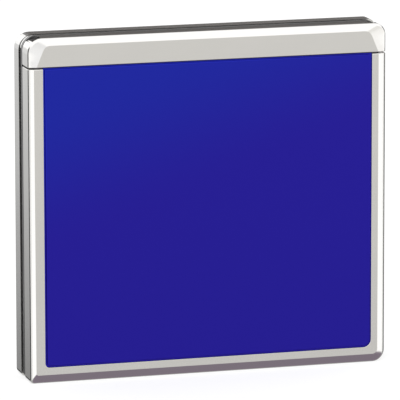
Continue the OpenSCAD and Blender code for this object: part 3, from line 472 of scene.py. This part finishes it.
# %% Table of finishes
FINISHES = {
    # slot: colour, factor for its second colour, metallic, roughness
    "silver_case": ((0.72, 0.715, 0.70), 0.97, 1.0, 0.16),
    "polished_frame": ((0.775, 0.765, 0.745), 0.985, 1.0, 0.13),
    "blue_plate": ((0.0236, 0.0162, 0.338), 0.96, 1.0, 0.34),
    "grey_frame": ((0.27, 0.268, 0.27), 0.9, 1.0, 0.3),
    "dark_plastic": ((0.02, 0.02, 0.022), 0.8, 0.0, 0.45),
    "sheet_steel": ((0.55, 0.56, 0.57), 0.95, 1.0, 0.3),
    "screw_steel": ((0.30, 0.30, 0.31), 0.9, 1.0, 0.35),
    "shaft_steel": ((0.72, 0.73, 0.75), 0.97, 1.0, 0.16),
    "cell_wrap": ((0.03, 0.16, 0.11), 0.9, 0.0, 0.3),
    "damper_rubber": ((0.015, 0.015, 0.017), 0.7, 0.0, 0.7),
    "motor_can": ((0.5, 0.51, 0.52), 0.94, 1.0, 0.28),
    "coil_copper": ((0.62, 0.25, 0.1), 0.8, 1.0, 0.35),
    "magnet": ((0.03, 0.03, 0.032), 0.8, 0.0, 0.5),
    "sled_black": ((0.018, 0.018, 0.02), 0.8, 0.0, 0.48),
    "lens_coating": ((0.16, 0.08, 0.35), 0.8, 0.0, 0.06),
    "gear_white": ((0.75, 0.75, 0.68), 0.95, 0.0, 0.45),
    "pinion_brass": ((0.72, 0.5, 0.16), 0.93, 1.0, 0.25),
    "flex_amber": ((0.45, 0.18, 0.03), 0.85, 0.0, 0.3),
    "board_green": ((0.012, 0.11, 0.04), 0.8, 0.0, 0.3),
    "chip_black": ((0.02, 0.02, 0.022), 0.8, 0.0, 0.5),
    "key_silver": ((0.55, 0.555, 0.57), 0.96, 0.9, 0.3),
    "socket_black": ((0.015, 0.015, 0.017), 0.8, 0.0, 0.5),
}
BRUSHED = {"blue_plate": 0.12, "silver_case": 0.02, "sheet_steel": 0.05, "motor_can": 0.05}
materials = {}
for slot, (colour, factor, metallic, roughness) in FINISHES.items():
    lined = {"texture": brushed, "scale": 1.0, "bump": BRUSHED[slot]} if slot in BRUSHED else {}
    materials[slot] = finish(slot, colour, near(colour, factor), metallic, roughness, **lined)
print(len(materials), "finishes")

# %% [markdown]
# Two finishes have a colour that is more than a drift: the boards show their copper runs, and the
# blue of the plate gets a painted sheen, lighter and greener towards its upper left. Then every CAD
# node gets the finish that its record names.

# %% Patterned finishes, and a finish for every node
TRACK_GREEN = (0.03, 0.2, 0.075, 1.0)
# The lighter, greener blue of the plate's painted sheen, at its upper left.
SHEEN_BLUE = (0.0176, 0.0257, 0.385, 1.0)


def recolour(slot, group, **colours):
    tree = materials[slot].node_tree
    pattern = place_group(tree, group, **colours)
    tree.links.new(pattern.outputs["Colour"], tree.nodes["Principled BSDF"].inputs["Base Color"])


recolour("board_green", tracks, Ground=(*FINISHES["board_green"][0], 1.0), Run=TRACK_GREEN)
# Painted sheen: the plate is lighter and greener towards its upper left, as its reflection is there.
recolour("blue_plate", sheen_fade, Colour=(*FINISHES["blue_plate"][0], 1.0), Second=SHEEN_BLUE)
for part in frame["record"]["subparts"]:
    piece = nodes[part["node"]]
    piece.data.materials.clear()
    piece.data.materials.append(materials[part["material_slot"]])

# %% [markdown]
# The lid's bright frame and bar are the face of the player. On the real one they are cast, and
# their bevel is slightly crowned, so it shows the studio as one clean white band with soft ends.
# The CAD model has that crown in a few flat steps, which polished metal would show as stripes.
# Here the same outlines are skinned with more rows of points: each row is one contour round the
# lid at its own depth, and neighbouring rows are joined by long thin faces.

# %% Sizes of the lid, from the CAD model's boxes
def span_of(node):
    low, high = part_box(node)
    return low / MM, high / MM


frame_low, frame_high = span_of("lid_frame")
bar_low, bar_high = span_of("hinge_bar")
plate_low, plate_high = span_of("front_plate")
HALF = frame_high.x
TOP = bar_high.z
FACE = frame_low.y
LID_BACK = frame_high.y
FLANGE_BACK = plate_high.y
WALL = 1.5
TOP_WALL = 1.1
LOW_CORNERS = (0.95, 2.6)
HIGH_CORNERS = (3.2, 2.4)
INNER_R = 1.2
print("lid", round(2 * HALF, 1), "x", round(TOP, 1), "mm")
print("seam from", round(frame_high.z, 2), "to", round(bar_low.z, 2))


# %% Contours round the lid
def arc(centre, radii, start, end, steps):
    angles = [math.radians(start + (end - start) * i / steps) for i in range(steps + 1)]
    return [(centre[0] + radii[0] * math.cos(a), centre[1] + radii[1] * math.sin(a)) for a in angles]


def joined(right, left):
    return right + [(-x, z) for x, z in reversed(left)]


def low_corner(half, low, radius, top):
    return [(half, top)] + arc((half - radius, low + radius), (radius, radius), 0, -90, 12)


def cup(left, right, low, radii, top):
    """Down the right side, along the bottom and up the left side. radii: left corner, right corner."""
    return joined(low_corner(right, low, radii[1], top), low_corner(left, low, radii[0], top))


def evenly(path, count):
    """The same path with its points spread evenly along it."""
    lengths = [math.dist(a, b) for a, b in zip(path, path[1:])]
    step = sum(lengths) / (count - 1)
    points, at, walked = [path[0]], 0, 0.0
    for i in range(1, count - 1):
        while walked + lengths[at] < i * step:
            walked += lengths[at]
            at += 1
        share = (i * step - walked) / lengths[at]
        (x0, z0), (x1, z1) = path[at], path[at + 1]
        points.append((x0 + (x1 - x0) * share, z0 + (z1 - z0) * share))
    return points + [path[-1]]


def high_corner(half, top, radii, low):
    centre = (half - radii[0], top - radii[1])
    start = math.degrees(math.asin(max(0.0, (low - centre[1]) / radii[1])))
    foot = [(half, low)] if low < centre[1] else []
    return evenly(foot + arc(centre, radii, start, 90, 60), 30)


def arch(left, right, top, corners, low):
    """Up the right side from the seam, along the top and down the left side."""
    return joined(high_corner(right, top, corners[1], low), high_corner(left, top, corners[0], low))


def between(first, second, share):
    return [(a[0] + (b[0] - a[0]) * share, a[1] + (b[1] - a[1]) * share) for a, b in zip(first, second)]


# %% [markdown]
# The bevel's profile is a shallow curve: it leaves the flat at ten degrees, steepens to about
# twenty-five, and then a small radius turns it into the side wall. A row stands at each depth.

# %% Bevel profile
BEVEL_W = 1.75
BEVEL_D = 0.6
EDGE_R = 0.5
EDGE_TURN = math.radians(24.4)  # slope at which the edge's radius takes over
LEAVE = 0.514
NARROW = 1.5
BROAD = 2.0


def crown(share, leave=LEAVE):
    """Depth behind the face at a share of the bevel's width, counted from the flat."""
    return BEVEL_D * (leave * share + (1 - leave) * share * share)


def crown_tilt(share):
    return math.atan(BEVEL_D / BEVEL_W * (LEAVE + 2 * (1 - LEAVE) * share))


def straightness(flat, rim):
    """A narrow bevel is curved and a broad corner facet is straight."""
    width = math.dist(flat, rim)
    return LEAVE + (1 - LEAVE) * min(1.0, max(0.0, (width - NARROW) / (BROAD - NARROW)))


rim_inset = EDGE_R * (1 - math.sin(EDGE_TURN))
rim_share = 1 - rim_inset / BEVEL_W
rim_depth = crown(rim_share) + EDGE_R * math.cos(EDGE_TURN)
print("bevel leaves the flat at", round(math.degrees(crown_tilt(0)), 1), "degrees, reaches the edge at",
      round(math.degrees(crown_tilt(rim_share)), 1))


def bevel_rows(flat, contour, crowns=8, turns=7):
    """Rows from the flat's outline to the side wall. contour(inset) is the outline at that inset."""
    rim = contour(rim_inset)
    rim_crown = crown(rim_share)
    leaves = [straightness(a, b) for a, b in zip(flat, rim)]
    rows = []
    for i in range(crowns + 1):
        share = i / crowns
        depths = [rim_crown * crown(share, leave) / BEVEL_D for leave in leaves]
        rows.append([(x, FACE + depth, z) for (x, z), depth in zip(between(flat, rim, share), depths)])
    for i in range(1, turns + 1):
        angle = EDGE_TURN + (math.pi / 2 - EDGE_TURN) * i / turns
        inset = EDGE_R * (1 - math.sin(angle))
        depth = rim_depth - EDGE_R * math.cos(angle)
        rows.append([(x, FACE + depth, z) for x, z in contour(inset)])
    return rows


# %% [markdown]
# One helper skins any such list of rows. It marks the creases, where the finish has to break
# sharply, and gives the open edges a bevel weight: no machined edge is perfectly sharp, and its
# thin bright line is what the eye reads as thickness.

# %% Skinning rows into a solid
def put(rows_in_mm, name, creases=(), rounded=(), lids=(), ring=False, ends=True):
    """rows become rings of vertices; creases and rounded are row numbers; lids are rows that get a face."""
    bm = bmesh.new()
    weight = bm.edges.layers.float.new("bevel_weight_edge")
    rows = [[bm.verts.new((x * MM, y * MM, z * MM)) for x, y, z in row] for row in rows_in_mm]
    pairs = list(zip(rows, rows[1:])) + ([(rows[-1], rows[0])] if ring else [])
    for first, second in pairs:
        for i in range(len(first) - 1):
            bm.faces.new((first[i], first[i + 1], second[i + 1], second[i]))
        if not ends:
            bm.faces.new((first[-1], first[0], second[0], second[-1]))
    if ends and ring:
        bm.faces.new([row[0] for row in rows])
        bm.faces.new([row[-1] for row in reversed(rows)])
    if ends and not ring:
        bm.faces.new([row[0] for row in rows] + [row[-1] for row in reversed(rows)])
    for i in lids:
        bm.faces.new(rows[i])
    bmesh.ops.recalc_face_normals(bm, faces=bm.faces)
    for face in bm.faces:
        face.smooth = True

    def mark(first, second, rounding):
        edge = bm.edges.get((first, second))
        if edge:
            edge.smooth = False
            edge[weight] = max(edge[weight], rounding)

    for i in sorted(set(creases) | set(rounded)):
        row = rows[i]
        closing = [] if ends else [(row[-1], row[0])]
        for first, second in list(zip(row, row[1:])) + closing:
            mark(first, second, 0.5 if i in rounded else 0.0)
    if ends:
        for first, second in pairs:
            mark(first[0], second[0], 1.0)
            mark(first[-1], second[-1], 1.0)
        for i in lids:
            mark(rows[i][0], rows[i][-1], 1.0)
    mesh = bpy.data.meshes.new(name)
    bm.to_mesh(mesh)
    bm.free()
    piece = bpy.data.objects.new(name, mesh)
    bpy.context.scene.collection.objects.link(piece)
    return piece


def round_edges(piece, width):
    bevel = piece.modifiers.new("edges", "BEVEL")
    bevel.limit_method = "WEIGHT"
    bevel.width = width * MM
    bevel.segments = 3
    normals = piece.modifiers.new("normals", "WEIGHTED_NORMAL")
    normals.keep_sharp = True
    return piece


def belongs(piece, body, slot, node):
    piece.data.materials.clear()
    piece.data.materials.append(materials[slot])
    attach(piece, body)
    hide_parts(node)
    print(piece.name, len(piece.data.polygons), "faces, for", node)


# %% [markdown]
# The frame is U-shaped and open at the top, where the bar closes it. Its rows go from the plate's
# opening over the flat and the bevel to the side wall and back inside, and the last row is joined
# to the first, so the section is closed.

# %% Lid frame
PLATE_GAP = 0.04
OPEN_HALF = plate_high.x + PLATE_GAP
OPEN_LOW = plate_low.z - PLATE_GAP
OPEN_CORNERS = (0.9, 1.7)
FLAT_CORNERS = (0.5, 1.1)
LID_ROUNDING = 0.14
FLAT_EDGES = {"left": 1.22, "right": 1.75, "low": 1.83, "top": 1.5}
SEAM_OPEN = 0.1
seam = frame_high.z - SEAM_OPEN


def frame_contour(inset):
    return cup(HALF - inset, HALF - inset, inset, [r - inset for r in LOW_CORNERS], seam)


opening = cup(OPEN_HALF, OPEN_HALF, OPEN_LOW, OPEN_CORNERS, seam)
rows = [[(x, FLANGE_BACK, z) for x, z in opening], [(x, FACE, z) for x, z in opening]]
flat = cup(HALF - FLAT_EDGES["left"], HALF - FLAT_EDGES["right"], FLAT_EDGES["low"], FLAT_CORNERS, seam)
rows += bevel_rows(flat, frame_contour)
rows.append([(x, LID_BACK, z) for x, z in frame_contour(0)])
inner = cup(HALF - WALL, HALF - WALL, WALL, (INNER_R, INNER_R), seam)
rows += [[(x, LID_BACK, z) for x, z in inner], [(x, FLANGE_BACK, z) for x, z in inner]]
last = len(rows) - 1
bright_frame = put(rows, "bright_frame", creases=[2, last], rounded=[0, 1, last - 2, last - 1],
                   ring=True)
round_edges(bright_frame, LID_ROUNDING)
belongs(bright_frame, "lid", "polished_frame", "lid_frame")

# %% [markdown]
# The bar across the top carries the lid's two hinge lugs. The flat's upper corners are cut back in
# a long slant, which leaves a broad facet at each corner. The bar is skinned as the frame is, and
# then the lugs are joined to it and the slots for the hinge cheeks are cut, as a mill would do it.

# %% Hinge bar
FLAT_FOOT = 37.42
FLAT_BEND = 35.52
BEND_SOFT = 1.2
CHEEK_SLOT = (36.1, 37.9)
LUG = (34.2, 35.9)
HINGE_Y = -1.6
HINGE_Z = 71.4
LUG_R = 0.85
BORE_R = 0.5
CUT_BACK = 2  # every cut ends in the open behind the lid
BACK_RELIEF = {"half": 38.3, "deep": 0.8, "high": 1.4}
SLOT_FRONT = -5.1
SLOT_HIGH = 2.6
seam = bar_low.z


def bar_contour(inset):
    corners = [(r - inset, r - inset) for r in HIGH_CORNERS]
    return arch(HALF - inset, HALF - inset, TOP - inset, corners, seam)


def flat_corner():
    """The flat's corner is a straight cut from the seam with a soft bend at its top."""
    foot, bend = (FLAT_FOOT, seam), (FLAT_BEND, TOP - FLAT_EDGES["top"])
    before = between([bend], [foot], BEND_SOFT / math.dist(foot, bend))[0]
    after = (bend[0] - BEND_SOFT, bend[1])
    shares = [i / 10 for i in range(11)]
    curve = [between(between([before], [bend], s), between([bend], [after], s), s)[0] for s in shares]
    return evenly([foot] + curve, 30)


rows = bevel_rows(joined(flat_corner(), flat_corner()), bar_contour)
rows.append([(x, LID_BACK, z) for x, z in bar_contour(0)])
inner = arch(HALF - WALL, HALF - WALL, TOP - TOP_WALL, ((INNER_R, INNER_R), (INNER_R, INNER_R)), seam)
rows += [[(x, LID_BACK, z) for x, z in inner], [(x, FLANGE_BACK, z) for x, z in inner]]
last = len(rows) - 1
bright_bar = put(rows, "bright_bar", creases=[0, last], rounded=[last - 2, last - 1], lids=[0, last])
print("bar skinned with", len(rows), "rows")

# %% [markdown]
# The lugs, their bores, the slots for the hinge cheeks and the relief at the bar's back are
# booleans. Each uses a plain tool, which is removed afterwards.

# %% Hinge lugs and slots

def round_bar(name, x0, x1, y, z, radius, steps=40):
    circle = arc((y, z), (radius, radius), 0, 360 - 360 / steps, steps - 1)
    rings = [[(x, p, q) for p, q in circle] for x in (x0, x1)]
    return put(rings, name, creases=[0, 1], lids=[0, 1], ends=False)


def brick(name, x0, x1, y0, y1, z0, z1):
    loop = [(x0, z0), (x1, z0), (x1, z1), (x0, z1)]
    rings = [[(x, y, z) for x, z in loop] for y in (y0, y1)]
    return put(rings, name, creases=[0, 1], lids=[0, 1], ends=False)


def carve(piece, *steps):
    """Each step is an operation and the tool that it uses up."""
    for operation, tool in steps:
        boolean = piece.modifiers.new(tool.name, "BOOLEAN")
        boolean.operation = operation
        boolean.object = tool
        boolean.solver = "EXACT"
    bpy.context.view_layer.update()
    whole = bpy.data.meshes.new_from_object(piece.evaluated_get(bpy.context.evaluated_depsgraph_get()))
    piece.modifiers.clear()
    old, piece.data = piece.data, whole
    bpy.data.meshes.remove(old)
    for _, tool in steps:
        bpy.data.objects.remove(tool)
    return piece


steps = [("DIFFERENCE", brick("relief", -BACK_RELIEF["half"], BACK_RELIEF["half"],
                              LID_BACK - BACK_RELIEF["deep"], CUT_BACK,
                              TOP - BACK_RELIEF["high"], TOP + 1))]
for side in (-1, 1):
    slot_from, slot_to = sorted(side * v for v in CHEEK_SLOT)
    lug_from, lug_to = sorted(side * v for v in LUG)
    steps += [
        ("DIFFERENCE", brick("slot", slot_from, slot_to, SLOT_FRONT, CUT_BACK,
                             TOP - SLOT_HIGH, TOP + 1)),
        ("UNION", brick("web", lug_from, lug_to, HINGE_Y - LUG_R - 1, HINGE_Y - 0.3,
                        HINGE_Z, TOP - 0.6)),
        ("UNION", round_bar("lug", lug_from, lug_to, HINGE_Y, HINGE_Z, LUG_R)),
        ("DIFFERENCE", round_bar("bore", lug_from - 1, lug_to + 1, HINGE_Y, HINGE_Z, BORE_R)),
    ]
carve(bright_bar, *steps)
round_edges(bright_bar, LID_ROUNDING)
belongs(bright_bar, "lid", "polished_frame", "hinge_bar")

# %% [markdown]
# The plate is a pressed sheet: a raised field with softly rounded edges, and a lower step that
# fills the gap to the frame. The place for a name on it stays bare.

# %% Front plate
STEP_T = 0.2
GAP = 0.34
PLATE_ROUNDING = 0.2
STEP_Y = FLANGE_BACK - STEP_T
raised_half = plate_high.x - GAP
raised = cup(raised_half, raised_half, plate_low.z + GAP,
             [r - GAP - PLATE_GAP for r in OPEN_CORNERS], plate_high.z - GAP)
foot = cup(plate_high.x, plate_high.x, plate_low.z,
           [r - PLATE_GAP for r in OPEN_CORNERS], plate_high.z - SEAM_OPEN)
rows = [[(x, plate_low.y, z) for x, z in raised], [(x, STEP_Y, z) for x, z in raised],
        [(x, STEP_Y, z) for x, z in foot], [(x, FLANGE_BACK, z) for x, z in foot]]
blue_field = put(rows, "blue_field", creases=[1, 2, 3], rounded=[0], lids=[0, 3], ends=False)
round_edges(blue_field, PLATE_ROUNDING)
belongs(blue_field, "lid", "blue_plate", "front_plate")

# %% [markdown]
# Round the upper left corner the shell's rim is drawn forward to the rib, so the dark gap behind
# the rib ends there.

# %% Corner fillet of the shell
RIB_BACK = LID_BACK + 1.7
SHELL_FRONT = LID_BACK + 2.4
FILLET_LOW = 2.25
FILLET_HIGH = 3.1
FILLET_INNER = FILLET_LOW - 0.1
FILLET_FADE = 12  # degrees over which it rises at each end
SHARP = math.radians(40)
corner = (HIGH_CORNERS[0] - HALF, TOP - HIGH_CORNERS[0])
rows = []
for degrees in range(92, 181, 4):
    swell = min(1.0, (degrees - 90) / FILLET_FADE, (182 - degrees) / FILLET_FADE)
    outer = FILLET_LOW + (FILLET_HIGH - FILLET_LOW) * math.sin(swell * math.pi / 2)
    across, upward = math.cos(math.radians(degrees)), math.sin(math.radians(degrees))
    section = [(FILLET_INNER, RIB_BACK), (outer, RIB_BACK),
               (outer, SHELL_FRONT), (FILLET_INNER, SHELL_FRONT)]
    rows.append([(corner[0] + r * across, y, corner[1] + r * upward) for r, y in section])
corner_fillet = put(rows, "corner_fillet", lids=[0, len(rows) - 1], ends=False)
corner_fillet.data.set_sharp_from_angle(angle=SHARP)
corner_fillet.data.materials.append(materials["silver_case"])
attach(corner_fillet, "case")
print("corner fillet", len(corner_fillet.data.polygons), "faces")
